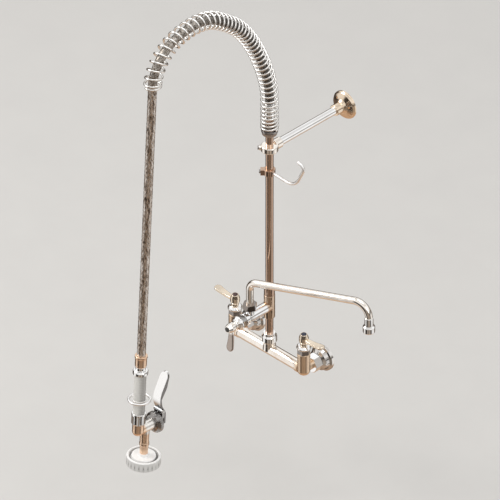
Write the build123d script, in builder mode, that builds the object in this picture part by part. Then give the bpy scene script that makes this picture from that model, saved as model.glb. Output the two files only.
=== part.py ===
from build123d import *
import math
import os

# Wall-mounted pre-rinse faucet with an add-on swing nozzle, in millimetres.
# X runs along the mixing body, +Y points into the wall and +Z is up. The origin lies midway
# between the two inlets, on the wall plane, at the height of the mixing body's centreline.

os.makedirs("parts", exist_ok=True)

# Driving dimensions
INLET_SPACING = 203.2        # 8 in between the inlets
VALVE_X = INLET_SPACING / 2
RISER_Y = -60.0              # riser axis in front of the wall plane
BAR_R = 12.4                 # mixing body's cross bar
BARREL_R = 14.0              # valve barrels
BARREL_TOP = 40.0            # valve axis datum to the top of a barrel
PIPE_R = 8.55                # 3/8 in pipe: riser, nipple and bracket rod
PIPE_BORE = 6.3
BRANCH_Z = 111.0             # height of the add-on valve's axis
ADDON_BARREL = 77.0          # riser axis to the end of the add-on barrel
OUTLET_REACH = 58.0          # riser axis to the nozzle's swivel axis
RISER_TOP = 602.0
SPRING_WIRE_R = 2.25
SPRING_R = 17.25             # mean radius of the overhead spring
SPRING_SEAT_Z = 561.0
HOSE_R = 9.5
HOSE_CUT = 0.05              # gap where the hose's two modelled lengths meet
HOSE_START = 628.0
LEAN = 3.2                   # degrees that the hanging hose leans outwards
DROP_LENGTH = 834.8          # spring end to the spray valve's datum
FERRULE_TOP = 174.0          # heights from here on are along the leaning axis
GRIP_TOP = 138.0
GRIP_R = 12.7
RING_HEIGHT = 64.5
BONNET_HEIGHT = -14.0        # axis of the spray valve's plunger
OUTLET_OFFSET = 20.0         # hose axis to the spray outlet's axis
PIVOT = (61.0, 11.5)         # lever pin, out from the hose axis and up from the datum
NOZZLE_TURN = 9.2            # degrees from +X towards the wall
NOZZLE_REACH = 304.9         # 12 in
NOZZLE_RISE = 73.8
NOZZLE_R = 8.0
TIP_Z = 199.5
HOOK_Z = 453.0
BRACKET_Z = 513.0
BRACKET_WALL = 164.0         # wall face of the uncut bracket
FIT = 0.1                    # gap between a thread or shaft and its bore


def save(piece, label):
    """Name a finished piece and write its STEP file."""
    piece.part.label = label
    export_step(piece.part, f"parts/{label}.step")


def turned(base, *outline):
    """Solid of revolution about base's Z axis. A corner is (radius, height, optional rounding)."""
    side = Plane(origin=base.origin, x_dir=base.x_dir, z_dir=-base.y_dir)
    corners = [corner[:2] for corner in outline]
    rounding = [corner[2] if len(corner) > 2 else 0 for corner in outline]
    with BuildPart() as piece:
        with BuildSketch(side):
            with BuildLine():
                FilletPolyline(*corners, radius=rounding, close=True)
            make_face()
        revolve(axis=Axis(base.origin, base.z_dir))
    return piece


def hex_nut(base, flats, bottom, top, *bore):
    """Hexagonal nut with crowned ends between two heights. The bore is a turned outline."""
    corner = flats / math.sqrt(3)
    crown = 0.12 * corner
    envelope = turned(
        base,
        (0, bottom),
        (corner - crown, bottom),
        (corner, bottom + 0.6 * crown),
        (corner, top - 0.6 * crown),
        (corner - crown, top),
        (0, top),
    )
    with BuildPart() as nut:
        with BuildSketch(base.offset(bottom)):
            RegularPolygon(radius=flats / 2, side_count=6, major_radius=False)
        extrude(amount=top - bottom)
        add(envelope.part, mode=Mode.INTERSECT)
        if bore:
            add(turned(base, *bore).part, mode=Mode.SUBTRACT)
    return nut


def group(*pieces):
    """Identical pieces as one node of separate solids."""
    with BuildPart() as joined:
        for piece in pieces:
            add(piece.part)
    return joined


def rod(base, radius, bottom, top, rounding=0.0):
    """Plain round bar between two heights of base's Z axis."""
    return turned(base, (0, bottom), (radius, bottom, rounding), (radius, top, rounding), (0, top))


def tube(base, radius, bore, bottom, top):
    """Round tube between two heights of base's Z axis."""
    return turned(base, (bore, bottom), (radius, bottom), (radius, top), (bore, top))


def ring_around(base, radius, wire, height):
    """Wire ring about base's Z axis."""
    with BuildPart() as ring:
        with Locations(base.offset(height)):
            Torus(radius, wire)
    return ring


RISER = Plane((0, RISER_Y, 0))
OUTLET = Plane((0, RISER_Y - OUTLET_REACH, 0))
# Valve planes: Z along the stem with 0 at the valve datum, X along the lever
HOT = Plane(origin=(-VALVE_X, RISER_Y, 0), x_dir=(-1, 0, 0), z_dir=(0, 0, 1))
COLD = Plane(origin=(VALVE_X, RISER_Y, 0), x_dir=(1, 0, 0), z_dir=(0, 0, 1))
ADDON_START = ADDON_BARREL - BARREL_TOP
ADDON = Plane(origin=(0, RISER_Y - ADDON_START, BRANCH_Z), x_dir=(0, 0, -1), z_dir=(0, -1, 0))
VALVES = {"hot": HOT, "cold": COLD, "addon": ADDON}

# Mixing body: cross bar, two valve barrels, two inlet arms and the riser boss, all hollow
ARM_R = 10.0
ARM_END = 27.0
WATERWAY = 6.5
CARTRIDGE_R = 9.9
with BuildPart() as base_body:
    with BuildSketch(Plane.YZ.offset(-VALVE_X)):
        with Locations((RISER_Y, 0)):
            Circle(BAR_R)
    extrude(amount=INLET_SPACING)
    for valve in (HOT, COLD):
        barrel = turned(
            valve,
            (0, -14.5),
            (BARREL_R, -14.5, 12),
            (BARREL_R, BARREL_TOP, 1),
            (0, BARREL_TOP),
        )
        add(barrel.part)
        arm = Plane(origin=valve.origin, x_dir=(1, 0, 0), z_dir=(0, 1, 0))
        arm_solid = turned(
            arm,
            (0, 0),
            (ARM_R, 0),
            (ARM_R, ARM_END - 3.5),
            (12.3, ARM_END - 3.5),
            (12.3, ARM_END),
            (0, ARM_END),
        )
        add(arm_solid.part)
        # Raised rings where the bar enters the barrel
        inner_side = Plane(origin=valve.origin, x_dir=(0, 1, 0), z_dir=-valve.x_dir)
        add(rod(inner_side, BAR_R + 1.3, 8, 17.5, 1.2).part)
    boss = turned(RISER, (0, 0), (14.5, 0), (13.2, 20, 0.8), (0, 20))
    add(boss.part)
    with BuildSketch(Plane.YZ.offset(-VALVE_X)):
        with Locations((RISER_Y, 0)):
            Circle(WATERWAY + 1)
    extrude(amount=INLET_SPACING, mode=Mode.SUBTRACT)
    for valve in (HOT, COLD):
        add(rod(valve, CARTRIDGE_R + FIT, -5, BARREL_TOP + 1).part, mode=Mode.SUBTRACT)
        arm = Plane(origin=valve.origin, x_dir=(1, 0, 0), z_dir=(0, 1, 0))
        add(rod(arm, WATERWAY, 0, ARM_END + 1).part, mode=Mode.SUBTRACT)
    add(rod(RISER, WATERWAY, 0, 21).part, mode=Mode.SUBTRACT)
save(base_body, "base_body")

# Inlets: flanged female connectors, coupling nuts and washers
INLET_THREAD_R = 9.6
FLANGE_R = 30.0
NOSE_R = 12.7                # threaded nose that the coupling nut grips
WASHER_TOP = 29.4
WALL_GAP = -RISER_Y


def wall_flange(axis):
    """Stepped wall flange with slots in its rim, a threaded nose and a female inlet."""
    blank = turned(
        axis,
        (INLET_THREAD_R, WALL_GAP),
        (FLANGE_R, WALL_GAP),
        (FLANGE_R, WALL_GAP - 6, 1.2),
        (25.5, WALL_GAP - 8.5, 1),
        (24, WALL_GAP - 17, 1.5),
        (17.5, WALL_GAP - 21, 1),
        (NOSE_R, WALL_GAP - 21.5),
        (NOSE_R, WASHER_TOP, 0.6),
        (WATERWAY, WASHER_TOP),
        (WATERWAY, WALL_GAP - 18),
        (INLET_THREAD_R, WALL_GAP - 16),
    )
    with BuildPart() as flange:
        add(blank.part)
        with BuildSketch(axis.offset(WALL_GAP - 22)):
            with PolarLocations(26.5, 12):
                Rectangle(7, 3.2)
        extrude(amount=13.6, mode=Mode.SUBTRACT)
    return flange


nuts = []
washers = []
for side, valve in (("hot", HOT), ("cold", COLD)):
    arm = Plane(origin=valve.origin, x_dir=(1, 0, 0), z_dir=(0, 1, 0))
    save(wall_flange(arm), f"{side}_wall_flange")
    nut_bore = (
        (0, 18),
        (ARM_R + FIT, 18),
        (ARM_R + FIT, 23.4),
        (NOSE_R + FIT, 23.4),
        (NOSE_R + FIT, 40),
        (0, 40),
    )
    nuts.append(hex_nut(arm, 34.0, 19.5, WALL_GAP - 22, *nut_bore))
    washers.append(tube(arm, NOSE_R - 0.5, WATERWAY + 1, ARM_END, WASHER_TOP))
save(group(*nuts), "coupling_nuts")
save(group(*washers), "inlet_washers")

# Valve tops: the same bonnet, cartridge, stem, collar and lever on all three valves
STEM_R = 4.0
STEM_END = 80.0
SCREW_R = 2.0
PORT_R = 3.4
HUB_BASE = 62.4
HUB_TOP = 88.0
LEVER_END = 58.0
PADDLE_ROOT = 6.0


def bonnet(valve):
    """Hexagonal bonnet with the spigot that screws into the barrel."""
    spigot = turned(valve, (0, 30), (CARTRIDGE_R, 30, 0.6), (CARTRIDGE_R, 41), (0, 41))
    crown = turned(valve, (0, 52), (10.2, 52), (10.2, 54.6, 0.6), (0, 54.6))
    with BuildPart() as piece:
        add(hex_nut(valve, 24.4, BARREL_TOP, 52.6).part)
        add(spigot.part)
        add(crown.part)
        add(rod(valve, STEM_R + FIT, 29, 56).part, mode=Mode.SUBTRACT)
    return piece


def cartridge(valve):
    """Quarter-turn cartridge housing with side ports."""
    blank = turned(
        valve,
        (STEM_R + FIT, 4),
        (6.5, 4),
        (6.5, -4.5),
        (CARTRIDGE_R, -4.5, 0.5),
        (CARTRIDGE_R, 29.8, 0.5),
        (STEM_R + FIT, 29.8),
    )
    with BuildPart() as piece:
        add(blank.part)
        for way in (valve.x_dir, valve.y_dir):
            with Locations(Plane(origin=valve.origin, z_dir=way)):
                Cylinder(PORT_R, 4 * CARTRIDGE_R, mode=Mode.SUBTRACT)
    return piece


def stem(valve):
    """Stem with a tapped end for the handle screw and a flat disc that covers the ports."""
    blank = turned(
        valve,
        (0, 4.4),
        (STEM_R, 4.4),
        (STEM_R, HUB_BASE - 0.4),
        (3.5, HUB_BASE - 0.4),
        (3.5, STEM_END, 0.4),
        (SCREW_R, STEM_END),
        (SCREW_R, 68),
        (0, 68),
    )
    return blank


def collar(valve):
    """Domed skirt between bonnet and handle."""
    return turned(
        valve,
        (10.3, 52.7),
        (15.5, 52.7, 0.6),
        (16, 56, 2),
        (12.5, 60.5, 2.5),
        (7, HUB_BASE - 0.4, 1),
        (STEM_R + 0.4, HUB_BASE - 0.4),
        (STEM_R + 0.4, 54.8),
        (10.3, 54.8),
    )


def handle(valve):
    """Lever handle: round hub and a paddle that widens and rises towards its rounded end."""
    hub = turned(
        valve,
        (3.55, HUB_BASE),
        (8.6, HUB_BASE, 0.8),
        (7.8, 66.5, 2),
        (10.4, 71, 2.5),
        (10.4, 80, 4),
        (7.6, HUB_TOP, 0.8),
        (6.1, HUB_TOP),
        (6.1, 84.6),
        (4.2, 84.6),
        (4.2, 82.2),
        (SCREW_R + FIT, 82.2),
        (SCREW_R + FIT, STEM_END),
        (3.55, STEM_END),
    )
    side = Plane(origin=valve.origin, x_dir=valve.x_dir, z_dir=-valve.y_dir)
    with BuildPart() as paddle:
        with BuildSketch(valve.offset(60)):
            with BuildLine():
                root = Line((PADDLE_ROOT, -5), (PADDLE_ROOT, 5))
                flank = Line(root @ 1, (LEVER_END - 9, 9.2))
                tip = ThreePointArc(flank @ 1, (LEVER_END, 0), (LEVER_END - 9, -9.2))
                Line(tip @ 1, root @ 0)
            make_face()
        extrude(amount=30)
        with BuildSketch(side):
            with BuildLine():
                top = Spline((5, 79.0), (28, 79.0), (62, 85.0))
                end = Line(top @ 1, (62, 80.2))
                under = Spline(end @ 1, (28, 73.2), (5, 71.8))
                Line(under @ 1, top @ 0)
            make_face()
        extrude(amount=12, both=True, mode=Mode.INTERSECT)
        rims = paddle.edges().filter_by(
            lambda edge: valve.to_local_coords(edge.center()).X > PADDLE_ROOT + 1
            and abs(edge.tangent_at(0.5).dot(valve.z_dir)) < 0.8
        )
        fillet(rims, 1.9)
    with BuildPart() as piece:
        add(hub.part)
        add(paddle.part)
    return piece


def handle_screw(valve):
    """Screw that holds a handle on its stem."""
    return turned(
        valve,
        (0, 70),
        (SCREW_R, 70, 0.3),
        (SCREW_R, 82.3),
        (3.9, 82.3),
        (3.9, 84.4, 0.5),
        (0, 84.4),
    )


def index_button(valve):
    """Domed button that closes the top of a handle."""
    return turned(valve, (0, 84.7), (6.0, 84.7, 0.3), (6.0, 88.6, 1.5), (3, 90.6, 2), (0, 90.8))


for side, valve in VALVES.items():
    save(bonnet(valve), f"{side}_bonnet")
    save(stem(valve), f"{side}_stem")
    save(handle(valve), f"{side}_handle")
    save(handle_screw(valve), f"{side}_handle_screw")
    save(index_button(valve), f"{side}_button")
save(group(*[cartridge(valve) for valve in VALVES.values()]), "valve_cartridges")
save(group(*[collar(valve) for valve in VALVES.values()]), "valve_collars")

# Riser stack: outlet nut, nipple, add-on valve body, collar and riser tube
outlet_nut = turned(
    RISER,
    (PIPE_R + FIT, 20),
    (14.5, 20, 0.8),
    (16.4, 22.5, 1),
    (16.4, 34, 1),
    (13.6, 38, 0.8),
    (13.2, 43, 0.8),
    (PIPE_R + FIT, 43),
)
save(outlet_nut, "outlet_nut")
save(tube(RISER, PIPE_R, PIPE_BORE, 20, 95), "lower_riser")

BRANCH = Plane(origin=(0, RISER_Y, BRANCH_Z), x_dir=(1, 0, 0), z_dir=(0, -1, 0))
with BuildPart() as addon_body:
    add(turned(RISER, (0, 83), (12, 83, 1), (12, 140, 1), (0, 140)).part)
    neck = turned(
        BRANCH,
        (0, 0),
        (11.7, 0),
        (11.7, 64, 1.5),
        (BARREL_R, 67, 1),
        (BARREL_R, ADDON_BARREL, 1),
        (0, ADDON_BARREL),
    )
    add(neck.part)
    add(turned(OUTLET, (0, BRANCH_Z), (10.4, BRANCH_Z), (9, 125, 1), (9, 136), (0, 136)).part)
    add(rod(RISER, PIPE_BORE, 82, 141).part, mode=Mode.SUBTRACT)
    add(rod(RISER, PIPE_R + FIT, 82, 95).part, mode=Mode.SUBTRACT)
    add(rod(RISER, PIPE_R + FIT, 128, 141).part, mode=Mode.SUBTRACT)
    add(rod(BRANCH, WATERWAY, 0, 40).part, mode=Mode.SUBTRACT)
    add(rod(ADDON, CARTRIDGE_R + FIT, -5, BARREL_TOP + 1).part, mode=Mode.SUBTRACT)
    add(rod(OUTLET, NOZZLE_R - 1.4, 118, 137).part, mode=Mode.SUBTRACT)
save(addon_body, "addon_body")
riser_collar = turned(
    RISER,
    (PIPE_R + FIT, 140),
    (11.6, 140, 0.6),
    (11.6, 157, 1),
    (10.2, 162, 0.8),
    (PIPE_R + FIT, 162),
)
save(riser_collar, "riser_collar")
save(tube(RISER, PIPE_R, PIPE_BORE, 128, RISER_TOP), "riser_tube")
spring_seat = turned(
    RISER,
    (PIPE_R + FIT, 548),
    (15.5, 548, 1.5),
    (17.8, 556, 1),
    (17.8, SPRING_SEAT_Z, 0.5),
    (14, SPRING_SEAT_Z),
    (13.6, 572, 1),
    (PIPE_R + FIT, 572),
)
save(spring_seat, "spring_seat")
hose_fitting = turned(
    RISER,
    (PIPE_R + FIT, 590),
    (11.2, 590, 1),
    (11.2, 605),
    (12.8, 606, 0.6),
    (12.8, 621, 0.6),
    (10.6, HOSE_START, 0.6),
    (PIPE_BORE, HOSE_START),
    (PIPE_BORE, RISER_TOP + 0.5),
    (PIPE_R + FIT, RISER_TOP + 0.5),
)
save(hose_fitting, "hose_fitting")

# Swing nozzle: nut, O-ring, bent tube, tip and flow screen
STUB_R = NOZZLE_R - 1.5
NOZZLE_WALL = 1.2
nozzle_nut = hex_nut(
    OUTLET,
    26.5,
    132,
    146,
    (0, 131),
    (9 + FIT, 131),
    (9 + FIT, 136.1),
    (11.2, 136.1),
    (11.2, 142),
    (NOZZLE_R + FIT, 142),
    (NOZZLE_R + FIT, 147),
    (0, 147),
)
save(nozzle_nut, "nozzle_nut")
save(ring_around(OUTLET, STUB_R - 0.55, 0.6, 129.5), "nozzle_seal")
turn = math.radians(NOZZLE_TURN)
nozzle_heading = (math.cos(turn), math.sin(turn), 0)
nozzle_side = Plane(
    origin=OUTLET.origin,
    x_dir=nozzle_heading,
    z_dir=(math.sin(turn), -math.cos(turn), 0),
)
TIP = Plane(OUTLET.origin + Vector(*nozzle_heading) * NOZZLE_REACH)
TUBE_END = 218.0
with BuildPart() as nozzle_bend:
    with BuildLine(nozzle_side):
        FilletPolyline(
            (0, 142),
            (0, 199),
            (NOZZLE_REACH, 199 + NOZZLE_RISE),
            (NOZZLE_REACH, TUBE_END),
            radius=[22, 30],
        )
    with BuildSketch(OUTLET.offset(142)):
        Circle(NOZZLE_R)
        Circle(NOZZLE_R - NOZZLE_WALL, mode=Mode.SUBTRACT)
    sweep()
nozzle_foot = turned(
    OUTLET,
    (5.2, 121),
    (STUB_R, 121, 0.5),
    (STUB_R, 128.8),
    (STUB_R - 1.2, 128.8),
    (STUB_R - 1.2, 130.2),
    (STUB_R, 130.2),
    (STUB_R, 136.4),
    (10.8, 136.4, 0.4),
    (10.8, 141.6, 0.4),
    (NOZZLE_R, 141.6),
    (NOZZLE_R, 142),
    (5.2, 142),
)
with BuildPart() as nozzle_tube:
    add(nozzle_bend.part)
    add(nozzle_foot.part)
save(nozzle_tube, "nozzle_tube")
nozzle_tip = turned(
    TIP,
    (NOZZLE_R - NOZZLE_WALL, TUBE_END - 1),
    (NOZZLE_R + FIT, TUBE_END - 1),
    (NOZZLE_R + FIT, 236),
    (9.4, 236, 0.5),
    (9.4, 217, 1),
    (13, 213.5, 1.2),
    (13, TIP_Z, 2.8),
    (9.2, TIP_Z),
    (9.2, 210),
    (NOZZLE_R - NOZZLE_WALL, 210),
)
save(nozzle_tip, "nozzle_tip")
with BuildPart() as tip_screen:
    with BuildSketch(TIP.offset(TIP_Z + 2)):
        Circle(9.15)
        with GridLocations(3.2, 3.2, 4, 4):
            Circle(0.9, mode=Mode.SUBTRACT)
    extrude(amount=4)
save(tip_screen, "tip_screen")

# Wall bracket: eye on the riser, rod and domed flange
eye_boss = Plane(origin=(0, RISER_Y, BRACKET_Z), x_dir=(1, 0, 0), z_dir=(0, 1, 0))
SET_SCREW_R = 2.5
CLAMP_HALF = 7.0             # half the height of the eye and of the hook's clamp
FRONT_LEFT = (-1, -1, 0)
screw_side = Plane(origin=(0, RISER_Y, BRACKET_Z), x_dir=(0, 0, 1), z_dir=FRONT_LEFT)
hook_screw_side = Plane(origin=(0, RISER_Y, HOOK_Z), x_dir=(0, 0, 1), z_dir=FRONT_LEFT)
with BuildPart() as bracket_eye:
    eye = turned(
        RISER,
        (0, BRACKET_Z - CLAMP_HALF),
        (18.5, BRACKET_Z - CLAMP_HALF, 2.5),
        (18.5, BRACKET_Z + CLAMP_HALF, 2.5),
        (0, BRACKET_Z + CLAMP_HALF),
    )
    add(eye.part)
    add(rod(eye_boss, 11.5, 12, 30, 1).part)
    add(rod(screw_side, 5.5, 12, 22, 0.8).part)
    add(rod(RISER, PIPE_R + FIT, BRACKET_Z - 10, BRACKET_Z + 10).part, mode=Mode.SUBTRACT)
    add(rod(eye_boss, PIPE_R + FIT, 20, 31).part, mode=Mode.SUBTRACT)
    add(rod(screw_side, SET_SCREW_R + FIT, 0, 25).part, mode=Mode.SUBTRACT)
save(bracket_eye, "bracket_eye")
WALL_END = BRACKET_WALL - RISER_Y
SCREW_CIRCLE_R = 21.0
SCREW_HOLE_R = 2.6
save(rod(eye_boss, PIPE_R, 20, WALL_END - 6, 0.4), "bracket_rod")
bracket_flange_blank = turned(
    eye_boss,
    (PIPE_R + FIT, WALL_END),
    (32, WALL_END),
    (32, WALL_END - 3, 1),
    (29, WALL_END - 7, 4),
    (17, WALL_END - 12, 5),
    (12.2, WALL_END - 17, 1.5),
    (12.2, WALL_END - 34, 1.2),
    (PIPE_R + FIT, WALL_END - 34),
)
with BuildPart() as bracket_flange:
    add(bracket_flange_blank.part)
    with BuildSketch(eye_boss.offset(WALL_END - 20)):
        with PolarLocations(SCREW_CIRCLE_R, 3, start_angle=-15):
            Circle(SCREW_HOLE_R)
    extrude(amount=21, mode=Mode.SUBTRACT)
save(bracket_flange, "bracket_flange")

# Finger hook: clamp on the riser and a bent wire
with BuildPart() as hook_clamp:
    band = turned(
        RISER,
        (0, HOOK_Z - CLAMP_HALF),
        (12.4, HOOK_Z - CLAMP_HALF, 1),
        (12.4, HOOK_Z + CLAMP_HALF, 1),
        (0, HOOK_Z + CLAMP_HALF),
    )
    add(band.part)
    with BuildSketch(hook_screw_side.offset(8)):
        RectangleRounded(14, 13, 1.5)
    extrude(amount=11)
    add(rod(RISER, PIPE_R + FIT, HOOK_Z - 10, HOOK_Z + 10).part, mode=Mode.SUBTRACT)
    add(rod(hook_screw_side, SET_SCREW_R + FIT, 0, 25).part, mode=Mode.SUBTRACT)
save(hook_clamp, "hook_clamp")


def set_screw(base, head):
    """Set screw with its tip against the riser and a round head."""
    return turned(
        base,
        (0, PIPE_R + FIT),
        (SET_SCREW_R, PIPE_R + FIT, 0.4),
        (SET_SCREW_R, head),
        (4.2, head),
        (4.2, head + 3, 0.8),
        (0, head + 3),
    )


save(group(set_screw(screw_side, 22.1), set_screw(hook_screw_side, 19.1)), "set_screws")

# Finger hook: one wire that runs out from the clamp, round and back over itself
HOOK_WIRE_R = 3.2
HOOK_ROUTE = [(12.5, HOOK_Z), (74, HOOK_Z - 3), (104, HOOK_Z + 59), (84, HOOK_Z + 63)]
with BuildPart() as hook_wire:
    with BuildLine(Plane.XZ.offset(-RISER_Y)):
        FilletPolyline(*HOOK_ROUTE, radius=[37, 11])
    with BuildSketch(Plane(origin=(HOOK_ROUTE[0][0], RISER_Y, HOOK_Z), z_dir=(61.5, 0, -3))):
        Circle(HOOK_WIRE_R)
    sweep()
    with Locations((HOOK_ROUTE[-1][0], RISER_Y, HOOK_ROUTE[-1][1])):
        Sphere(HOOK_WIRE_R)
save(hook_wire, "hook_wire")

# Hose route from the riser fitting over the arch, as (distance from the riser axis, height)
HOSE_ROUTE = [
    (0, HOSE_START),
    (-1, 668),
    (-21, 735),
    (-50, 800),
    (-89, 857),
    (-131, 892),
    (-178, 922),
    (-233, 928),
    (-296, 913),
    (-338, 864),
]
SPRING_END = (-339.7, 833.5)
lean = math.radians(LEAN)
down = Vector(0, -math.sin(lean), -math.cos(lean))
spring_end = Vector(0, RISER_Y + SPRING_END[0], SPRING_END[1])
DROP = Plane(origin=spring_end + down * DROP_LENGTH, x_dir=(1, 0, 0), z_dir=-down)


def corner_radii(points):
    """Radius of each corner's arc, which takes 0.45 of the shorter run on each side."""
    radii = []
    for before, corner, after in zip(points, points[1:], points[2:]):
        run_in = Vector(*corner) - Vector(*before)
        run_out = Vector(*after) - Vector(*corner)
        half_turn = math.radians(run_in.get_angle(run_out)) / 2
        radii.append(0.45 * min(run_in.length, run_out.length) / math.tan(half_turn))
    return radii


route = [(0, RISER_Y + y, z) for y, z in HOSE_ROUTE] + [tuple(spring_end)]
radii = corner_radii([*route[:-1], tuple(DROP.origin)])
print("hose radii", [round(radius) for radius in radii])
with BuildPart() as hose_upper:
    with BuildLine() as arch:
        FilletPolyline(*route, radius=radii)
    with BuildSketch(Plane(origin=route[0], z_dir=arch.wire() % 0)):
        Circle(HOSE_R)
    sweep()
save(hose_upper, "hose_upper")
arch_length = arch.wire().length
hose_lower = rod(DROP, HOSE_R, FERRULE_TOP - 12, DROP_LENGTH - HOSE_CUT)
save(hose_lower, "hose_lower")
print("hose length", round(arch_length + DROP_LENGTH - FERRULE_TOP + 12))
print("hose volume ratio", hose_upper.part.volume / (math.pi * HOSE_R**2 * arch_length))

# Overhead spring: its coils as rings, close at the seat and open over the arch
SEAT_PITCH = 10.2
ARCH_PITCH = 14.6
END_PITCH = 4.6
spring_route = [(0, RISER_Y, SPRING_SEAT_Z + SPRING_WIRE_R), *route]
with BuildLine() as spring_line:
    FilletPolyline(*spring_route, radius=[120, *radii])
spring_length = spring_line.wire().length


def coil_places(length):
    """Distances of the coils along the spring, at a pitch that opens away from the seat."""
    places = [0.0, END_PITCH]
    while places[-1] < length - 3 * END_PITCH:
        opened = min(1.0, places[-1] / (0.45 * length))
        places.append(places[-1] + SEAT_PITCH + (ARCH_PITCH - SEAT_PITCH) * opened)
    places[-1] = length - 2 * END_PITCH
    return [*places, length - END_PITCH, length]


with BuildPart() as overhead_spring:
    for place in coil_places(spring_length):
        centre = spring_line.wire().position_at(place, PositionMode.LENGTH)
        heading = spring_line.wire().tangent_at(place, PositionMode.LENGTH)
        with Locations(Plane(origin=centre, z_dir=heading)):
            Torus(SPRING_R, SPRING_WIRE_R)
save(overhead_spring, "overhead_spring")

# Hose end: ferrule with its swivel stub, and the swivel ring
FERRULE_BASE = 147.0
hose_ferrule = turned(
    DROP,
    (HOSE_R + FIT, FERRULE_TOP),
    (13.6, FERRULE_TOP, 0.8),
    (13.6, FERRULE_TOP - 4, 1),
    (12.6, FERRULE_TOP - 6, 0.6),
    (12.6, FERRULE_BASE + 2, 1.5),
    (10.5, FERRULE_BASE, 0.5),
    (8, FERRULE_BASE),
    (8, 119, 0.4),
    (5.5, 119),
    (5.5, FERRULE_TOP - 12),
    (HOSE_R + FIT, FERRULE_TOP - 12),
)
save(hose_ferrule, "hose_ferrule")
swivel_ring = turned(
    DROP,
    (8.05, GRIP_TOP + 0.3),
    (11.2, GRIP_TOP + 0.3, 1),
    (11.2, FERRULE_BASE - 0.1, 1),
    (8.05, FERRULE_BASE - 0.1),
)
save(swivel_ring, "swivel_ring")

# Grip: metal tube with a flanged head, and the insulating sleeve on it
SLEEVE_TOP = 129.0
NUT_TOP = 32.0
BODY_TOP = 5.0
GRIP_TUBE_R = 10.0
grip_tube = turned(
    DROP,
    (8 + FIT, GRIP_TOP),
    (15, GRIP_TOP, 1),
    (16.5, GRIP_TOP - 3, 1),
    (16.5, SLEEVE_TOP, 1),
    (GRIP_TUBE_R, SLEEVE_TOP),
    (GRIP_TUBE_R, BODY_TOP),
    (WATERWAY, BODY_TOP),
    (WATERWAY, 117),
    (8 + FIT, 117),
)
save(grip_tube, "grip_tube")
GROOVES = 22
sleeve_outline = [(GRIP_TUBE_R + FIT, NUT_TOP), (GRIP_R - 0.4, NUT_TOP, 0.3)]
groove_pitch = (SLEEVE_TOP - NUT_TOP - 6) / GROOVES
for number in range(GROOVES):
    groove = NUT_TOP + 3 + number * groove_pitch
    sleeve_outline += [(GRIP_R, groove), (GRIP_R, groove + groove_pitch - 1)]
    sleeve_outline.append((GRIP_R - 0.45, groove + groove_pitch - 0.5))
sleeve_outline += [(GRIP_R - 0.4, SLEEVE_TOP, 0.3), (GRIP_TUBE_R + FIT, SLEEVE_TOP)]
save(turned(DROP, *sleeve_outline), "grip_sleeve")

# Hold-down ring with the wire collar that slides on the grip
COLLAR_WIRE = 1.0
COLLAR_R = GRIP_R + COLLAR_WIRE + 0.3
RING_R = 22.5
RING_WIRE = 2.5
with BuildPart() as hold_ring:
    with Locations(DROP.offset(RING_HEIGHT).rotated((0, 0, 45))):
        Torus(RING_R, RING_WIRE)
        Torus(COLLAR_R, COLLAR_WIRE)
    ring_centre = DROP.from_local_coords((0, 0, RING_HEIGHT))
    for way in (-1, 1):
        spoke_plane = Plane(origin=ring_centre, z_dir=(way, 0, 0))
        with BuildSketch(spoke_plane.offset(COLLAR_R)):
            Circle(0.7)
        extrude(amount=RING_R - COLLAR_R)
save(hold_ring, "hold_ring")

# Fluted coupling nut below the grip
FLUTES = 8
fluted_blank = turned(
    DROP,
    (GRIP_TUBE_R + FIT, BODY_TOP),
    (14.2, BODY_TOP, 0.8),
    (15.4, BODY_TOP + 3, 1),
    (15.4, NUT_TOP, 1.5),
    (GRIP_TUBE_R + FIT, NUT_TOP),
)
with BuildPart() as fluted_nut:
    add(fluted_blank.part)
    with BuildSketch(DROP.offset(BODY_TOP - 1)):
        with PolarLocations(17.4, FLUTES):
            Circle(4)
    extrude(amount=NUT_TOP - BODY_TOP - 4, mode=Mode.SUBTRACT)
save(fluted_nut, "fluted_nut")

# Spray valve body: inlet neck, horizontal barrel and outlet neck
PLUNGER = Plane(
    origin=DROP.from_local_coords((0, 0, BONNET_HEIGHT)),
    x_dir=(1, 0, 0),
    z_dir=DROP.y_dir,
)
SPRAY = Plane(
    origin=DROP.from_local_coords((0, OUTLET_OFFSET, 0)),
    x_dir=(1, 0, 0),
    z_dir=DROP.z_dir,
)
SPRAY_BARREL_R = 11.6
with BuildPart() as spray_body:
    inlet = turned(
        DROP,
        (0, BONNET_HEIGHT - SPRAY_BARREL_R),
        (12.6, BONNET_HEIGHT - SPRAY_BARREL_R, 11.5),
        (12.6, BODY_TOP, 0.6),
        (0, BODY_TOP),
    )
    add(inlet.part)
    add(rod(PLUNGER, SPRAY_BARREL_R, 0, 38).part)
    outlet = turned(
        SPRAY,
        (0, BONNET_HEIGHT),
        (10.2, BONNET_HEIGHT),
        (9.8, -50, 1),
        (10.6, -52, 0.6),
        (10.6, -57, 0.6),
        (9.4, -59, 1),
        (8.4, -80, 0.5),
        (0, -80),
    )
    add(outlet.part)
    add(rod(DROP, WATERWAY, BONNET_HEIGHT, BODY_TOP + 1).part, mode=Mode.SUBTRACT)
    add(rod(PLUNGER, 8, 0, 39).part, mode=Mode.SUBTRACT)
    add(rod(SPRAY, 4.9, -81, BONNET_HEIGHT).part, mode=Mode.SUBTRACT)
save(spray_body, "spray_body")

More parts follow.
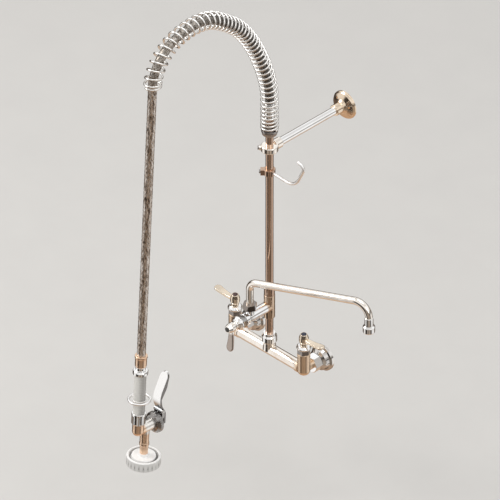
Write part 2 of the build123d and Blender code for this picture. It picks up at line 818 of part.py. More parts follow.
# Bonnet nut with a knurled rim, and the yoke that carries the lever
KNURLS = 26
RIM_R = 23.5
spray_bonnet_blank = turned(
    PLUNGER,
    (3.2, 38),
    (13.5, 38, 1),
    (13.5, 40.5),
    (18, 41.5, 1),
    (RIM_R, 46, 0.8),
    (RIM_R, 53, 0.8),
    (17, 58, 1),
    (7.2, 58),
    (7.2, 42),
    (3.2, 42),
)
with BuildPart() as spray_bonnet:
    add(spray_bonnet_blank.part)
    with BuildSketch(PLUNGER.offset(44)):
        with PolarLocations(RIM_R + 0.4, KNURLS):
            Circle(1.5)
    extrude(amount=12, mode=Mode.SUBTRACT)
save(spray_bonnet, "spray_bonnet")
LEVER_WIDTH = 19.0
EAR_GAP = 0.4
EAR = 2.4
PIN_R = 2.0
pivot_local = (0, PIVOT[0], PIVOT[1])
PIN = Plane(origin=DROP.from_local_coords(pivot_local), z_dir=(1, 0, 0), x_dir=DROP.y_dir)
pivot_rise = PIVOT[1] - BONNET_HEIGHT
ear_inside = LEVER_WIDTH / 2 + EAR_GAP
YOKE_BACK = 58.0
YOKE_FRONT = 61.0
with BuildPart() as yoke:
    with BuildSketch(PLUNGER.offset(YOKE_BACK)):
        Circle(13)
        with Locations((0, -9)):
            Rectangle(2 * (ear_inside + EAR), 18)
        Circle(3.2, mode=Mode.SUBTRACT)
    extrude(amount=YOKE_FRONT - YOKE_BACK)
    for start in (-ear_inside - EAR, ear_inside):
        with BuildSketch(PIN.offset(start)):
            Circle(5)
            with BuildLine():
                Polyline((-3, 0), (5, 0), (3, -pivot_rise + 10), (-3, -pivot_rise + 10), close=True)
            make_face()
            Circle(PIN_R + 0.05, mode=Mode.SUBTRACT)
        extrude(amount=EAR)
save(yoke, "yoke")
pin_reach = ear_inside + EAR
lever_pin = turned(
    PIN,
    (0, -pin_reach - 1.4),
    (3.2, -pin_reach - 1.4, 0.6),
    (3.2, -pin_reach - 0.1),
    (PIN_R, -pin_reach - 0.1),
    (PIN_R, pin_reach + 1.2, 0.4),
    (0, pin_reach + 1.2),
)
save(lever_pin, "lever_pin")

# Squeeze lever: curved plate with a flange along each edge and a fork for the plunger below
LEVER_THICK = 4.6
BLADE_WIDTH = 21.0
BLADE_TIP = 99.5
FORK_WIDTH = 6.2
FLANGE = 2.4
LEVER_PATH = [(69, BONNET_HEIGHT - 8), (69, 4), (48.3, 38.5), (78.9, 103)]
FLANGE_OUTLINE = [(54.2, 38), (70.5, 65), (77, 93), (74.5, 93), (58.6, 60), (54.6, 48)]
lever_side = Plane(origin=DROP.origin, x_dir=DROP.y_dir, z_dir=(1, 0, 0))
lever_front = Plane(origin=DROP.origin, x_dir=(-1, 0, 0), z_dir=DROP.y_dir)
half_blade = BLADE_WIDTH / 2
half_lever = LEVER_WIDTH / 2
lever_outline = [
    (-half_lever, -30),
    (half_lever, -30),
    (half_lever, 19),
    (half_blade, 34),
    (half_blade, BLADE_TIP),
    (-half_blade, BLADE_TIP),
    (-half_blade, 34),
    (-half_lever, 19),
]
with BuildPart() as lever_flanges:
    with BuildSketch(lever_side) as flange_side:
        with BuildLine():
            FilletPolyline(*FLANGE_OUTLINE, radius=[0, 18, 0, 0, 0, 0], close=True)
        make_face()
    extrude(amount=half_blade, both=True)
    extrude(flange_side.sketch, amount=half_blade - FLANGE, both=True, mode=Mode.SUBTRACT)
with BuildPart() as lever:
    with BuildSketch(lever_side):
        with BuildLine():
            FilletPolyline(*LEVER_PATH, radius=[14, 45])
        trace(line_width=LEVER_THICK)
        with Locations(PIVOT):
            Circle(4.8)
    extrude(amount=half_blade, both=True)
    add(lever_flanges.part)
    with BuildSketch(lever_front):
        with BuildLine():
            FilletPolyline(*lever_outline, radius=[0, 0, 20, 20, 10.2, 10.2, 20, 20], close=True)
        make_face()
        with Locations((0, BONNET_HEIGHT)):
            Circle(FORK_WIDTH / 2, mode=Mode.SUBTRACT)
        with Locations((0, BONNET_HEIGHT - 10)):
            Rectangle(FORK_WIDTH, 20, mode=Mode.SUBTRACT)
    extrude(amount=100, mode=Mode.INTERSECT)
    add(rod(PIN, PIN_R + 0.06, -20, 20).part, mode=Mode.SUBTRACT)
save(lever, "lever")

# Plunger: valve disc, stem with the spring's collar, and the button that the fork pulls
plunger = turned(
    PLUNGER,
    (0, 22),
    (7.4, 22, 0.6),
    (7.4, 26, 0.6),
    (2.5, 28),
    (2.5, 42.2),
    (6.6, 42.2, 0.3),
    (6.6, 43.8, 0.3),
    (2.5, 43.8),
    (2.5, 71.6),
    (4.7, 71.6, 0.5),
    (4.7, 74.2, 1),
    (0, 74.6),
)
save(plunger, "plunger")
save(tube(PLUNGER, 6.6, 5.0, 43.9, 57.8), "plunger_spring")

# Spray head: dish, rubber bumper and perforated face
spray_head = turned(
    SPRAY,
    (8.5, -78),
    (10.5, -78, 0.6),
    (10.5, -84.5, 1),
    (25.5, -83, 0.8),
    (26.5, -87),
    (29.6, -88.5, 0.5),
    (30.4, -89),
    (30.4, -104),
    (27.1, -104),
    (27.1, -92),
    (4.9, -92),
    (4.9, -80.2),
    (8.5, -80.2),
)
save(spray_head, "spray_head")
with BuildPart() as bumper:
    rim = turned(
        SPRAY,
        (30.5, -88.6),
        (31, -84.5, 0.5),
        (33.5, -82, 2),
        (36.5, -84.5, 2),
        (36.5, -104, 2),
        (34, -106, 1),
        (30.5, -106),
    )
    add(rim.part)
    with BuildSketch(SPRAY.offset(-107)):
        with PolarLocations(37.2, 24):
            Circle(1.6)
    extrude(amount=9, mode=Mode.SUBTRACT)
save(bumper, "bumper")
with BuildPart() as face_plate:
    add(rod(SPRAY, 27, -102, -99.5).part)
    with BuildSketch(SPRAY.offset(-103)):
        for radius, count in ((6, 6), (12, 12), (18, 18), (23.5, 24)):
            with PolarLocations(radius, count):
                Circle(1.1)
    extrude(amount=5, mode=Mode.SUBTRACT)
save(face_plate, "face_plate")
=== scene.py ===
import bpy
import math
import numpy as np
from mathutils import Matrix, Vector


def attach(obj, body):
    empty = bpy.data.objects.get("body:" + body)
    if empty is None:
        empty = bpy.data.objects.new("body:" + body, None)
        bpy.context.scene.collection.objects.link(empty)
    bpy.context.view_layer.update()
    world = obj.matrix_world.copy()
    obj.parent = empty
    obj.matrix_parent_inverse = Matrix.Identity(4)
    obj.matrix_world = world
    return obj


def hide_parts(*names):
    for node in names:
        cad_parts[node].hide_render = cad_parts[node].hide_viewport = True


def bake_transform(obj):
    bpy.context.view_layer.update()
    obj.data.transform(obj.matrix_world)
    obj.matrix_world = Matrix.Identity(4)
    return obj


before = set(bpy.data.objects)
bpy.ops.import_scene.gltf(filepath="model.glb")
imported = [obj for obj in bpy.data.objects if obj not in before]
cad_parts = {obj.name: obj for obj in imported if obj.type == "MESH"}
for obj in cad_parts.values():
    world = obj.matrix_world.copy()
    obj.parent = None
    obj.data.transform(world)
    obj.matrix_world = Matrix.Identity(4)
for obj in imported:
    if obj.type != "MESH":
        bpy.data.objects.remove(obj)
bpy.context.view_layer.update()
MM = 0.001

# ---------------------------------------------------------------- camera
# Isometric view: 45 degrees round from the front and 35.26 degrees up, through a very long lens
LENS = 1000.0
SENSOR = 36.0
VIEW_WIDTH = 1.0417               # metres across the picture at the target
CLIP_START = 1.0
CLIP_END = 200.0
TARGET = Vector((0.0, -0.1175, 0.2814))
BACK = Vector((1.0, -1.0, 1.0)).normalized()

camera_data = bpy.data.cameras.new("camera")
camera_data.lens = LENS
camera_data.sensor_width = SENSOR
camera_data.clip_start = CLIP_START
camera_data.clip_end = CLIP_END
camera = bpy.data.objects.new("camera", camera_data)
bpy.context.scene.collection.objects.link(camera)
camera.location = TARGET + BACK * VIEW_WIDTH * LENS / SENSOR
camera.rotation_euler = BACK.to_track_quat("Z", "Y").to_euler()
bpy.context.scene.camera = camera


# ---------------------------------------------------------------- node helpers
class Nodes:
    """A node tree that is built up from a few helpers."""

    def __init__(self, tree):
        self.tree = tree
        self.coords = tree.nodes.new("ShaderNodeTexCoord")

    def add(self, kind, **values):
        node = self.tree.nodes.new(kind)
        for key, value in values.items():
            setattr(node, key, value)
        return node

    def link(self, source, target):
        self.tree.links.new(source, target)

    def spread(self, source, low, high, start=0.3, end=0.7):
        """Map the range from start to end onto the range from low to high."""
        node = self.add("ShaderNodeMapRange")
        node.inputs["From Min"].default_value = start
        node.inputs["From Max"].default_value = end
        node.inputs["To Min"].default_value = low
        node.inputs["To Max"].default_value = high
        self.link(source, node.inputs["Value"])
        return node.outputs["Result"]

    def ramp(self, source, stops, interpolation="LINEAR"):
        """Colour ramp with (place, colour) stops."""
        node = self.add("ShaderNodeValToRGB")
        ramp = node.color_ramp
        ramp.interpolation = interpolation
        while len(ramp.elements) < len(stops):
            ramp.elements.new(0.5)
        for element, (place, color) in zip(ramp.elements, stops):
            element.position = place
            element.color = (*color, 1)
        self.link(source, node.inputs["Fac"])
        return node.outputs["Color"]

    def mix(self, amount, first, second):
        """Blend two colours by a 0-1 value. A colour is a tuple or a socket."""
        node = self.add("ShaderNodeMix", data_type="RGBA")
        self.link(amount, node.inputs["Factor"])
        for socket, value in ((node.inputs["A"], first), (node.inputs["B"], second)):
            if isinstance(value, tuple):
                socket.default_value = (*value, 1)
            else:
                self.link(value, socket)
        return node.outputs["Result"]

    def maths(self, operation, *values):
        """One maths node. A value is a float or a socket."""
        node = self.add("ShaderNodeMath", operation=operation)
        for socket, value in zip(node.inputs, values):
            if isinstance(value, float):
                socket.default_value = value
            else:
                self.link(value, socket)
        return node.outputs["Value"]

    def axis(self, source, axis):
        """One component of a vector."""
        split = self.add("ShaderNodeSeparateXYZ")
        self.link(source, split.inputs["Vector"])
        return split.outputs[axis]


class Shader(Nodes):
    """A Principled material. Its noise and spans ride with the piece that wears it."""

    def __init__(self, name, color, metallic=0.0, roughness=0.4):
        self.material = bpy.data.materials.new(name)
        self.material.use_nodes = True
        super().__init__(self.material.node_tree)
        self.bsdf = self.tree.nodes["Principled BSDF"]
        self.bsdf.inputs["Base Color"].default_value = (*color, 1)
        self.bsdf.inputs["Metallic"].default_value = metallic
        self.bsdf.inputs["Roughness"].default_value = roughness

    def noise(self, scale, detail, stretch=(1, 1, 1)):
        """Noise with scale features per metre. A stretch below 1 draws it out along that axis."""
        mapping = self.add("ShaderNodeMapping")
        mapping.inputs["Scale"].default_value = stretch
        self.link(self.coords.outputs["Object"], mapping.inputs["Vector"])
        noise = self.add("ShaderNodeTexNoise")
        noise.inputs["Scale"].default_value = scale
        noise.inputs["Detail"].default_value = detail
        noise.inputs["Roughness"].default_value = NOISE_ROUGHNESS
        self.link(mapping.outputs["Vector"], noise.inputs["Vector"])
        return noise.outputs["Fac"]

    def inside(self, zone):
        """1 past the end of every (axis, start, end) span and 0 before the start of any.

        Spans are in millimetres in the shared frame. X counts from the middle to either side."""
        amount = None
        for axis, start, end in zone:
            place = self.axis(self.coords.outputs["Object"], axis)
            if axis == "X":
                place = self.maths("ABSOLUTE", place)
            fade = self.spread(place, 0.0, 1.0, start * MM, end * MM)
            amount = fade if amount is None else self.maths("MULTIPLY", amount, fade)
        return amount

    def facing(self, axis, start, end):
        """0 to 1 as the piece's own normal turns from start to end along an axis."""
        return self.spread(self.axis(self.coords.outputs["Normal"], axis), 0.0, 1.0, start, end)

    def convexity(self, low, high, start, end):
        """Map how hollow or convex the surface is, around 0.5 where flat, onto a range."""
        geometry = self.add("ShaderNodeNewGeometry")
        return self.spread(geometry.outputs["Pointiness"], low, high, start, end)

    def bump(self, source, strength, distance, below=None):
        """Relief on the surface, on top of an earlier bump if there is one below."""
        node = self.add("ShaderNodeBump")
        node.inputs["Strength"].default_value = strength
        node.inputs["Distance"].default_value = distance
        self.link(source, node.inputs["Height"])
        if below is not None:
            self.link(below, node.inputs["Normal"])
        self.link(node.outputs["Normal"], self.bsdf.inputs["Normal"])
        return node.outputs["Normal"]

    def feed(self, socket, source):
        """Drive one of the shader's sockets."""
        self.link(source, self.bsdf.inputs[socket])


# How fine the marks on the surfaces are, in features per metre
SMUDGES = 38.0
WATER_SPOTS = 420.0
ORANGE_PEEL = 160.0
POLISH_LINES = 900.0
TARNISH = 55.0
GRIME = 70.0
NOISE_ROUGHNESS = 0.55


def lit_by(tint, factor):
    """A colour made lighter or darker."""
    return tuple(min(1.0, c * factor) for c in tint)


def chrome(name, tint, stain, rough=0.07, zone=None, zone_tint=None, zone_blur=0.0, side=None):
    """Polished plate: faint orange peel, water spots, smudges, painted highlight on convex edges.

    zone is a list of spans, as Shader.inside takes them, where the plate has zone_tint and is
    rougher by zone_blur. side is (axis, start, end, tint) for faces that look along that axis."""
    shader = Shader(name, tint, metallic=1.0, roughness=rough)
    smudge = shader.noise(SMUDGES, 5.0)
    spots = shader.noise(WATER_SPOTS, 2.0)
    color = shader.mix(shader.spread(smudge, 0.0, 0.55, 0.45, 0.75), tint, stain)
    # Painted highlight: convex edges made lighter than the plate
    edge_highlight = shader.convexity(0.0, 1.0, 0.52, 0.6)
    color = shader.mix(edge_highlight, color, lit_by(tint, 1.08))
    if zone:
        color = shader.mix(shader.inside(zone), color, zone_tint)
    if side:
        axis, start, end, side_tint = side
        color = shader.mix(shader.facing(axis, start, end), color, side_tint)
    shader.feed("Base Color", color)
    smudged = shader.spread(smudge, rough, rough + 0.1, 0.4, 0.75)
    spotted = shader.spread(spots, 0.0, 0.12, 0.62, 0.78)
    blur = shader.maths("ADD", smudged, spotted)
    if zone_blur:
        blur = shader.maths("MULTIPLY_ADD", shader.inside(zone), zone_blur, blur)
    shader.feed("Roughness", blur)
    peel = shader.bump(shader.noise(ORANGE_PEEL, 2.0), 0.05, 0.0006)
    shader.bump(shader.noise(POLISH_LINES, 3.0, (1, 1, 0.08)), 0.03, 0.0002, peel)
    return shader.material


def steel(name, tint, rough, grain=700.0, depth=0.12):
    """Bright steel with a fine grain and light tarnish."""
    shader = Shader(name, tint, metallic=1.0, roughness=rough)
    tarnish = shader.noise(TARNISH, 5.0)
    color = shader.mix(shader.spread(tarnish, 0.0, 0.6, 0.45, 0.8), tint, lit_by(tint, 0.72))
    shader.feed("Base Color", color)
    fine = shader.noise(grain, 3.0)
    shader.feed("Roughness", shader.spread(fine, rough, rough + 0.16))
    shader.bump(fine, depth, 0.0003)
    return shader.material


def moulded(name, tint, dark, rough, grain=1400.0, zone=None, zone_tint=None, side=None):
    """Moulded plastic or rubber: fine grain, grime, painted shade in the hollows and rubbed edges.

    zone, zone_tint and side work as they do for chrome."""
    shader = Shader(name, tint, roughness=rough)
    grime = shader.noise(GRIME, 6.0)
    color = shader.mix(shader.spread(grime, 0.0, 0.5, 0.5, 0.85), tint, dark)
    if zone:
        color = shader.mix(shader.inside(zone), color, zone_tint)
    if side:
        axis, start, end, side_tint = side
        color = shader.mix(shader.facing(axis, start, end), color, side_tint)
    rubbed = shader.convexity(0.0, 1.0, 0.5, 0.58)
    color = shader.mix(rubbed, color, lit_by(tint, 1.12))
    # Painted shade: hollows and creases darkened towards the dark colour
    hollow = shader.convexity(1.0, 0.0, 0.42, 0.485)
    color = shader.mix(hollow, color, lit_by(dark, 0.35))
    shader.feed("Base Color", color)
    shader.feed("Roughness", shader.spread(grime, rough - 0.08, rough + 0.12))
    shader.bump(shader.noise(grain, 2.0), 0.12, 0.0002)
    return shader.material


# ---------------------------------------------------------------- hose and spring
# Millimetres
RISER_Y = -60.0
HOSE_START = 628.0
SPRING_SEAT_Z = 561.0
SPRING_WIRE_R = 2.25
LEAN = math.radians(3.2)          # of the hanging hose and the spray valve
# Metres
SPRING_END = Vector((0.0, RISER_Y - 339.7, 833.5)) * MM
DROP_LENGTH = 834.8 * MM          # from the spring's end down to the spray valve's datum
FERRULE_HEIGHT = 162.0 * MM       # the hose ends this high above that datum
UP_HOSE = Vector((0.0, math.sin(LEAN), math.cos(LEAN)))
OUT_HOSE = Vector((0.0, math.cos(LEAN), -math.sin(LEAN)))
DROP = SPRING_END - UP_HOSE * DROP_LENGTH
HOSE_END = DROP + UP_HOSE * FERRULE_HEIGHT
HOSE_R = 9.5 * MM
# The hose's route, as (Y from the riser's axis, height) in millimetres
HOSE_ROUTE = [
    (0, HOSE_START),
    (-1, 668),
    (-21, 735),
    (-50, 800),
    (-89, 857),
    (-131, 892),
    (-178, 922),
    (-233, 928),
    (-296, 913),
    (-338, 864),
    (-341.6, 799.7),
]


def spline_points(name, points):
    """Points along the NURBS spline that has these control points."""
    curve = bpy.data.curves.new(name, "CURVE")
    curve.dimensions = "3D"
    curve.resolution_u = 40
    spline = curve.splines.new("NURBS")
    spline.points.add(len(points) - 1)
    for target, point in zip(spline.points, points):
        target.co = (*point, 1.0)
    spline.order_u = 3
    spline.use_endpoint_u = True
    holder = bpy.data.objects.new(name, curve)
    bpy.context.scene.collection.objects.link(holder)
    bpy.context.view_layer.update()
    graph = bpy.context.evaluated_depsgraph_get()
    mesh = bpy.data.meshes.new_from_object(holder.evaluated_get(graph))
    found = np.array([vertex.co for vertex in mesh.vertices])
    bpy.data.meshes.remove(mesh)
    bpy.data.objects.remove(holder)
    return found


def line_length(points):
    """Length of a polyline."""
    return np.linalg.norm(np.diff(points, axis=0), axis=1).sum()


def along(points, distances):
    """Places and directions at distances along a polyline."""
    steps = np.linalg.norm(np.diff(points, axis=0), axis=1)
    run = np.concatenate([[0.0], np.cumsum(steps)])
    places = np.stack([np.interp(distances, run, points[:, axis]) for axis in range(3)], axis=1)
    slopes = np.gradient(points, run, axis=0)
    ways = np.stack([np.interp(distances, run, slopes[:, axis]) for axis in range(3)], axis=1)
    return places, ways / np.linalg.norm(ways, axis=1)[:, None]


def smooth_object(name, vertices, faces, material):
    """A smooth-shaded mesh in the scene."""
    mesh = bpy.data.meshes.new(name)
    mesh.from_pydata([tuple(vertex) for vertex in vertices], [], faces)
    mesh.update()
    mesh.polygons.foreach_set("use_smooth", [True] * len(mesh.polygons))
    mesh.materials.append(material)
    piece = bpy.data.objects.new(name, mesh)
    bpy.context.scene.collection.objects.link(piece)
    return piece


def tube_faces(rows, columns):
    """Quads of a tube of rows rings with columns points each, and its two end caps."""
    faces = []
    for row in range(rows - 1):
        for column in range(columns):
            following = (column + 1) % columns
            low, high = row * columns, (row + 1) * columns
            faces.append((low + column, low + following, high + following, high + column))
    faces.append(tuple(reversed(range(columns))))
    faces.append(tuple(range((rows - 1) * columns, rows * columns)))
    return faces


def tube_frames(ways):
    """Two directions across a tube whose line lies in the plane X = 0."""
    across = np.tile([1.0, 0.0, 0.0], (len(ways), 1))
    return across, np.cross(ways, across)


def braided_hose(name, points, radius, material):
    """Hose with a woven steel cover: two opposed sets of strands that pass over each other."""
    strands = 8
    pitch = 0.085                 # length over which a strand goes once round
    depth = 0.0009                # of the grooves between the strands
    crossing = 4                  # how sharply one set dips under the other
    step = 0.0011
    around = 112
    length = line_length(points)
    rows = int(length / step)
    distances = np.linspace(0, length, rows)
    places, ways = along(points, distances)
    across, other = tube_frames(ways)
    angles = np.linspace(0, 2 * math.pi, around, endpoint=False)
    theta, run = np.meshgrid(angles, distances)
    left = strands * (theta + 2 * math.pi * run / pitch) / 2
    right = strands * (theta - 2 * math.pi * run / pitch) / 2
    over = 0.5 + 0.5 * np.tanh(crossing * np.sin(left) * np.sin(right))
    crown = over * np.abs(np.cos(left)) + (1 - over) * np.abs(np.cos(right))
    profile = radius - depth * (1 - np.sqrt(np.clip(crown, 0, 1)))
    rings = (
        places[:, None, :]
        + profile[..., None] * np.cos(theta)[..., None] * across[:, None, :]
        + profile[..., None] * np.sin(theta)[..., None] * other[:, None, :]
    )
    return smooth_object(name, rings.reshape(-1, 3), tube_faces(rows, around), material)


def coil_spring(name, points, radius, wire, pitches, closed, material):
    """Spring on a curved line, of wire with this radius.

    pitches is (places from 0 to 1, pitch at each), and closed is the length at either end over
    which the turns close up."""
    per_turn = 40
    around = 14
    samples = 6000
    end_pitch = 2.05 * wire       # closed turns all but touch
    length = line_length(points)
    fine = np.linspace(0, length, samples)
    pitch = np.interp(fine / length, *pitches)
    closing = np.clip(np.minimum(fine / closed[0], (length - fine) / closed[1]), 0, 1)
    closing = closing * closing * (3 - 2 * closing)
    pitch = end_pitch + (pitch - end_pitch) * closing
    phase = np.concatenate([[0.0], np.cumsum(2 * math.pi / pitch[:-1] * np.diff(fine))])
    rows = int(phase[-1] / (2 * math.pi) * per_turn)
    phases = np.linspace(0, phase[-1], rows)
    distances = np.interp(phases, phase, fine)
    places, ways = along(points, distances)
    across, other = tube_frames(ways)
    radial = np.cos(phases)[:, None] * across + np.sin(phases)[:, None] * other
    centres = places + radius * radial
    tangents = np.gradient(centres, axis=0)
    tangents /= np.linalg.norm(tangents, axis=1)[:, None]
    second = np.cross(tangents, radial)
    second /= np.linalg.norm(second, axis=1)[:, None]
    first = np.cross(second, tangents)
    angles = np.linspace(0, 2 * math.pi, around, endpoint=False)
    section = (
        np.cos(angles)[None, :, None] * first[:, None, :]
        + np.sin(angles)[None, :, None] * second[:, None, :]
    )
    rings = centres[:, None, :] + wire * section
    return smooth_object(name, rings.reshape(-1, 3), tube_faces(rows, around), material)


route = [(0.0, (RISER_Y + y) * MM, z * MM) for y, z in HOSE_ROUTE] + [tuple(HOSE_END)]
hose_line = spline_points("hose_line", route)


def hose_material():
    """Woven steel: bright strands, painted brown shade in the grooves between them, long streaks,
    and painted shade on two stretches inside the spring."""
    shader = Shader("woven_steel", (0.62, 0.58, 0.54), metallic=1.0, roughness=0.3)
    streak = shader.noise(260.0, 4.0, (1, 1, 0.25))
    patch = shader.noise(30.0, 4.0)
    color = shader.ramp(
        streak, [(0.36, (0.12, 0.09, 0.07)), (0.48, (0.62, 0.54, 0.47)), (0.6, (0.98, 0.95, 0.92))]
    )
    color = shader.mix(shader.spread(patch, 0.0, 0.5), color, (0.5, 0.42, 0.35))
    # Painted shade in the grooves between the strands
    crown = shader.convexity(0.0, 1.0, 0.44, 0.5)
    color = shader.mix(crown, (0.13, 0.1, 0.08), color)
    # Painted shade at part strength on the hose inside the spring, over the top of the arch
    arch_shade = shader.spread(shader.inside([("Z", 830, 850)]), 0.0, 0.6, 0.0, 1.0)
    color = shader.mix(arch_shade, color, (0.2, 0.19, 0.17))
    # Painted shade on the hose inside the spring, towards the riser
    spring_shade = shader.inside([("Y", -290, -190)])
    shader.feed("Base Color", shader.mix(spring_shade, color, (0.15, 0.14, 0.13)))
    shader.feed("Roughness", shader.spread(streak, 0.2, 0.42))
    shader.bump(shader.noise(2600.0, 2.0, (1, 1, 0.3)), 0.25, 0.0002)
    return shader.material


hose = braided_hose("woven_hose", hose_line, HOSE_R, hose_material())
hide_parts("hose_upper", "hose_lower")
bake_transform(hose)

spring_start = (0.0, RISER_Y * MM, (SPRING_SEAT_Z + SPRING_WIRE_R) * MM)
spring_route = [spring_start, *route[:-2]]
spring_line = spline_points("spring_line", [*spring_route, tuple(SPRING_END)])
spring_steel = steel("spring_steel", (0.95, 0.94, 0.92), 0.14, 1500.0, 0.06)
spring = coil_spring(
    "coil_spring",
    spring_line,
    radius=17.25 * MM,
    wire=SPRING_WIRE_R * MM,
    pitches=(
        (0.0, 0.06, 0.1, 0.14, 0.32, 0.55, 0.75, 1.0),
        (0.0086, 0.0094, 0.012, 0.0142, 0.0142, 0.0128, 0.0158, 0.0165),
    ),
    closed=(0.008, 0.016),
    material=spring_steel,
)
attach(spring, "faucet")
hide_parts("overhead_spring")

# The small spring between the plunger's collar and the yoke, which shortens as the lever moves
PLUNGER_DEPTH = 14                # below the spray valve's datum
YOKE_REACH = 57.7                 # of the yoke's and the collar's faces from the hose's axis
COLLAR_REACH = 44
PLUNGER_AXIS = DROP - UP_HOSE * PLUNGER_DEPTH * MM
YOKE_END = PLUNGER_AXIS + OUT_HOSE * YOKE_REACH * MM
COLLAR_END = PLUNGER_AXIS + OUT_HOSE * COLLAR_REACH * MM
small_line = np.array([tuple(COLLAR_END.lerp(YOKE_END, step / 20)) for step in range(21)])
small_spring = coil_spring(
    "small_spring",
    small_line,
    radius=5.7 * MM,
    wire=0.55 * MM,
    pitches=((0, 1), (0.0042, 0.0042)),
    closed=(0.002, 0.002),
    material=spring_steel,
)
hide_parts("plunger_spring")
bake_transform(small_spring)

# ---------------------------------------------------------------- materials of the CAD pieces
CHROME = chrome("polished_chrome", (0.93, 0.93, 0.93), (0.76, 0.72, 0.67))
WARM_CHROME = chrome("warm_chrome", (0.52, 0.37, 0.28), (0.4, 0.26, 0.19), 0.09)
TAN_CHROME = chrome("tan_chrome", (0.96, 0.91, 0.85), (0.82, 0.7, 0.58), 0.1)
COPPER = chrome("coppery_plate", (0.9, 0.66, 0.48), (0.72, 0.44, 0.28), 0.26)
DARK_CHROME = chrome("dark_chrome", (0.26, 0.23, 0.21), (0.3, 0.2, 0.15), 0.1)
HANDLE_TAN = chrome("handle_tan", (0.86, 0.75, 0.61), (0.7, 0.56, 0.42), 0.12)
GREY_CHROME = chrome("grey_chrome", (0.5, 0.49, 0.48), (0.38, 0.36, 0.34))
# Painted shade where the flange faces down
FLANGE_CHROME = chrome(
    "flange_chrome",
    (0.74, 0.72, 0.7),
    (0.55, 0.52, 0.49),
    side=("Z", -0.1, -0.6, (0.34, 0.31, 0.29)),
)
DIM_CHROME = chrome("dim_chrome", (0.34, 0.33, 0.32), (0.26, 0.25, 0.24))
# Shaded plate on the hanging blade, bright on the hub
ADDON_HANDLE_PLATE = chrome(
    "addon_handle_plate",
    (0.42, 0.36, 0.32),
    (0.3, 0.25, 0.21),
    0.12,
    zone=[("Z", 93, 98)],
    zone_tint=(0.92, 0.89, 0.84),
)
# Copper plate on the ball and the outlet, bright on the barrel of the plunger
SPRAY_PLATE = chrome(
    "spray_plate",
    (0.9, 0.66, 0.48),
    (0.72, 0.44, 0.28),
    0.26,
    zone=[("Y", -437, -431), ("Z", -31, -26)],
    zone_tint=(0.92, 0.9, 0.86),
)
# Warm plate on the part round the riser, bright on the valve's barrel in front of it
ADDON_PLATE = chrome(
    "addon_plate",
    (0.62, 0.47, 0.35),
    (0.46, 0.31, 0.2),
    zone=[("Y", -72, -77)],
    zone_tint=(0.93, 0.93, 0.93),
)
# Bright plate on the bar, tan plate on both valve barrels at its ends
BASE_PLATE = chrome(
    "base_plate",
    (0.96, 0.91, 0.85),
    (0.82, 0.7, 0.58),
    0.12,
    zone=[("X", 84, 90)],
    zone_tint=(0.84, 0.66, 0.49),
    zone_blur=0.2,
)
# Bright plate on the blade, shaded along one flange and down at the fork
LEVER_PLATE = chrome(
    "lever_plate",
    (0.93, 0.93, 0.93),
    (0.76, 0.74, 0.71),
    zone=[("Z", 40, 14)],
    zone_tint=(0.36, 0.37, 0.38),
    side=("X", 0.3, 0.8, (0.19, 0.18, 0.175)),
)
TAN = chrome("tan_plate", (0.84, 0.7, 0.55), (0.62, 0.45, 0.3), 0.12)
DARK_STEEL = steel("dark_steel", (0.36, 0.34, 0.33), 0.25)
BRIGHT_STEEL = steel("bright_steel", (0.8, 0.79, 0.77), 0.18)
WHITE_STEEL = steel("white_steel", (0.97, 0.965, 0.96), 0.32)
BRASS = steel("bare_brass", (0.74, 0.55, 0.28), 0.25)
# Painted shade on the faces that look towards +X
GREY_GRIP = moulded(
    "grey_grip",
    (0.72, 0.71, 0.68),
    (0.5, 0.49, 0.465),
    0.5,
    side=("X", 0.45, 0.95, (0.2, 0.19, 0.18)),
)
# White on top, painted shade on the sides round the rim
WHITE_RUBBER = moulded(
    "white_rubber",
    (0.94, 0.94, 0.93),
    (0.7, 0.69, 0.67),
    0.5,
    side=("Z", 0.6, 0.15, (0.64, 0.635, 0.62)),
)
# White on the dish, painted shade in the groove around it
WHITE_ENAMEL = moulded(
    "white_enamel",
    (0.94, 0.94, 0.93),
    (0.72, 0.71, 0.69),
    0.22,
    500.0,
    zone=[("Z", -86.5, -88)],
    zone_tint=(0.12, 0.115, 0.11),
)
BLACK_RUBBER = moulded("black_rubber", (0.03, 0.03, 0.03), (0.08, 0.075, 0.07), 0.6)
DARK_BUTTON = moulded("dark_button", (0.05, 0.048, 0.045), (0.12, 0.11, 0.1), 0.3)
HOT_BUTTON = moulded("hot_button", (0.06, 0.025, 0.022), (0.04, 0.025, 0.02), 0.3)
COLD_BUTTON = moulded("cold_button", (0.022, 0.026, 0.05), (0.02, 0.022, 0.035), 0.3)

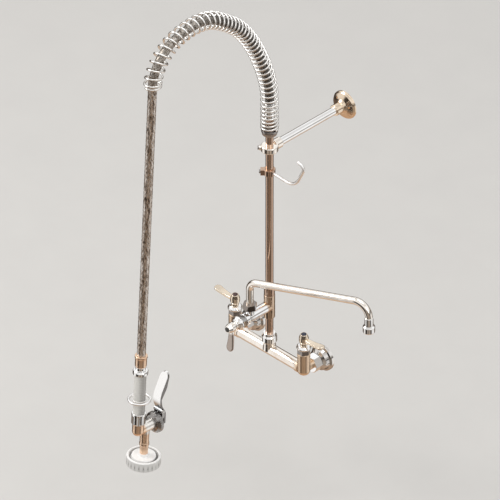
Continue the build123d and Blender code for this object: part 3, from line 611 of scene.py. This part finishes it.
FINISHES = {
    "hot_handle": HANDLE_TAN,
    "cold_handle": HANDLE_TAN,
    "addon_handle": ADDON_HANDLE_PLATE,
    "addon_body": ADDON_PLATE,
    "addon_bonnet": GREY_CHROME,
    "nozzle_nut": DARK_CHROME,
    "hot_wall_flange": FLANGE_CHROME,
    "cold_wall_flange": FLANGE_CHROME,
    "spray_bonnet": DIM_CHROME,
    "yoke": DIM_CHROME,
    "lever": LEVER_PLATE,
    "base_body": BASE_PLATE,
    "nozzle_tube": TAN_CHROME,
    "bracket_eye": TAN_CHROME,
    "riser_tube": WARM_CHROME,
    "lower_riser": WARM_CHROME,
    "riser_collar": WARM_CHROME,
    "bracket_flange": TAN,
    "hose_ferrule": COPPER,
    "spray_body": SPRAY_PLATE,
    "spring_seat": DARK_STEEL,
    "hook_clamp": WARM_CHROME,
    "hook_wire": WHITE_STEEL,
    "hold_ring": WHITE_STEEL,
    "grip_sleeve": GREY_GRIP,
    "bumper": WHITE_RUBBER,
    "spray_head": WHITE_ENAMEL,
    "face_plate": BRIGHT_STEEL,
    "tip_screen": BRIGHT_STEEL,
    "set_screws": DARK_STEEL,
    "lever_pin": BRIGHT_STEEL,
    "plunger": BRASS,
    "valve_cartridges": BRASS,
    "inlet_washers": BLACK_RUBBER,
    "nozzle_seal": BLACK_RUBBER,
    "hot_button": HOT_BUTTON,
    "cold_button": COLD_BUTTON,
    "addon_button": DARK_BUTTON,
    "hot_bonnet": DARK_STEEL,
    "cold_bonnet": DARK_STEEL,
    "hot_stem": BRASS,
    "cold_stem": BRASS,
    "addon_stem": BRASS,
    "hot_handle_screw": BRIGHT_STEEL,
    "cold_handle_screw": BRIGHT_STEEL,
    "addon_handle_screw": BRIGHT_STEEL,
}
for name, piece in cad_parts.items():
    piece.data.materials.clear()
    piece.data.materials.append(FINISHES.get(name, CHROME))

# ---------------------------------------------------------------- floor, light and world
FLOOR_Z = -0.3
FLOOR_SIZE = 80.0
bpy.ops.mesh.primitive_plane_add(size=FLOOR_SIZE, location=(0, 0, FLOOR_Z))
floor = bpy.context.object
floor.name = "floor"
floor_shader = Shader("pale_floor", (0.6, 0.59, 0.57), roughness=0.7)
mottle = floor_shader.noise(9.0, 5.0)
floor_shader.feed("Base Color", floor_shader.mix(mottle, (0.61, 0.6, 0.58), (0.57, 0.56, 0.545)))
floor.data.materials.append(floor_shader.material)
floor.visible_glossy = False


def soft_light(name, place, aim, size, power, color):
    """Large soft panel that points at aim."""
    data = bpy.data.lights.new(name, "AREA")
    data.shape = "RECTANGLE"
    data.size, data.size_y = size
    data.energy = power
    data.color = color
    lamp = bpy.data.objects.new(name, data)
    bpy.context.scene.collection.objects.link(lamp)
    lamp.location = place
    lamp.rotation_euler = (Vector(place) - Vector(aim)).to_track_quat("Z", "Y").to_euler()


CENTRE = (0.0, -0.15, 0.35)
soft_light("key_panel", (-2.2, -1.6, 2.6), CENTRE, (1.4, 1.4), 36, (1.0, 0.98, 0.95))
soft_light("fill_panel", (2.8, -0.6, 1.5), CENTRE, (0.6, 2.2), 8, (1.0, 0.96, 0.92))
soft_light("top_panel", (0.2, 0.2, 3.4), CENTRE, (2.2, 2.2), 20, (1.0, 1.0, 1.0))

world = bpy.data.worlds.new("studio")
bpy.context.scene.world = world
world.use_nodes = True
room = Nodes(world.node_tree)

# The room that the chrome mirrors: white above, a dark line at eye level, brown and pale stripes
# all the way round below it, a warm glow towards the floor, and one tall window
direction = room.coords.outputs["Generated"]
height = room.axis(direction, "Z")
turn = room.maths("ARCTAN2", room.axis(direction, "Y"), room.axis(direction, "X"))
around = room.maths("ADD", room.maths("DIVIDE", turn, 2 * math.pi), 0.5)
BROWN = (0.17, 0.13, 0.105)
DARK = (0.035, 0.03, 0.027)
TAN_LIGHT = (0.48, 0.41, 0.34)
PALE = (0.95, 0.93, 0.91)
GLOW = (0.62, 0.44, 0.31)
stripes = room.ramp(
    around,
    [
        (0.0, BROWN),
        (0.05, DARK),
        (0.1, PALE),
        (0.16, PALE),
        (0.2, DARK),
        (0.27, DARK),
        (0.31, TAN_LIGHT),
        (0.36, BROWN),
        (0.42, TAN_LIGHT),
        (0.47, DARK),
        (0.59, PALE),
        (0.65, PALE),
        (0.7, DARK),
        (0.76, TAN_LIGHT),
        (0.82, DARK),
        (0.89, BROWN),
        (0.94, DARK),
        (1.0, BROWN),
    ],
    "EASE",
)
ceiling = room.ramp(
    height,
    [
        (0.0, DARK),
        (0.06, DARK),
        (0.16, (0.42, 0.39, 0.36)),
        (0.4, (0.97, 0.965, 0.96)),
        (0.64, (1.0, 1.0, 1.0)),
        (0.8, (0.74, 0.73, 0.72)),
        (1.0, (0.9, 0.9, 0.9)),
    ],
    "EASE",
)
window = room.ramp(
    around,
    [
        (0.0, (0, 0, 0)),
        (0.08, (0, 0, 0)),
        (0.1, (1, 1, 1)),
        (0.17, (1, 1, 1)),
        (0.19, (0, 0, 0)),
        (1.0, (0, 0, 0)),
    ],
    "EASE",
)
near_floor = room.spread(height, 0.0, 1.0, -0.62, -0.82)
above_eyes = room.spread(height, 0.0, 1.0, -0.06, 0.03)
over_sill = room.maths("GREATER_THAN", height, -0.4)
surroundings = room.mix(above_eyes, room.mix(near_floor, stripes, GLOW), ceiling)
surroundings = room.mix(room.maths("MULTIPLY", window, over_sill), surroundings, PALE)
room.link(surroundings, world.node_tree.nodes["Background"].inputs["Color"])
bpy.context.scene.view_settings.view_transform = "Standard"
